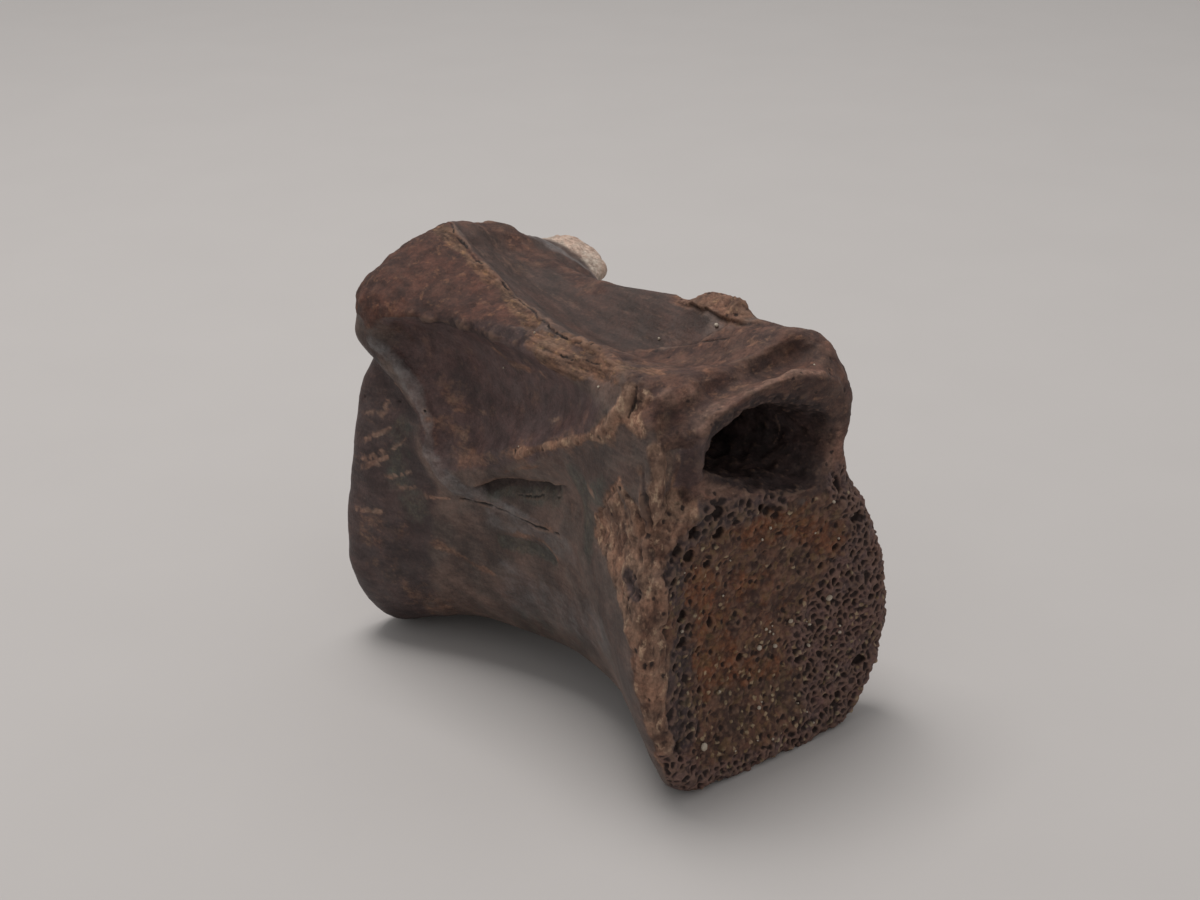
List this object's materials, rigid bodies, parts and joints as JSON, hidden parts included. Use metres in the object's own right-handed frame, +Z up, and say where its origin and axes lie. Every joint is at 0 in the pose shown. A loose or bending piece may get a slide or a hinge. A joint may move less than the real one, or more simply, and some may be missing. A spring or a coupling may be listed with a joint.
{
  "type": "fossil vertebra",
  "caption": "Fossil dinosaur vertebra: waisted spool-shaped body with dished ends, a neural arch with side hollows and a broken roof, and an open neural canal",
  "frame": {"origin": "the middle of the bounding box, at the height of the two worn feet it rests on", "axes": "+Y runs along the body from the worn spongy end to the smooth end, +Z is up through the neural arch, X is left and right"},
  "size_m": [0.0718, 0.0986, 0.0917],
  "materials": {
    "fossil_bone": "worn, satin"
  },
  "bodies": {
    "root": {"vertebra": "fossil_bone"}
  },
  "joints": []
}
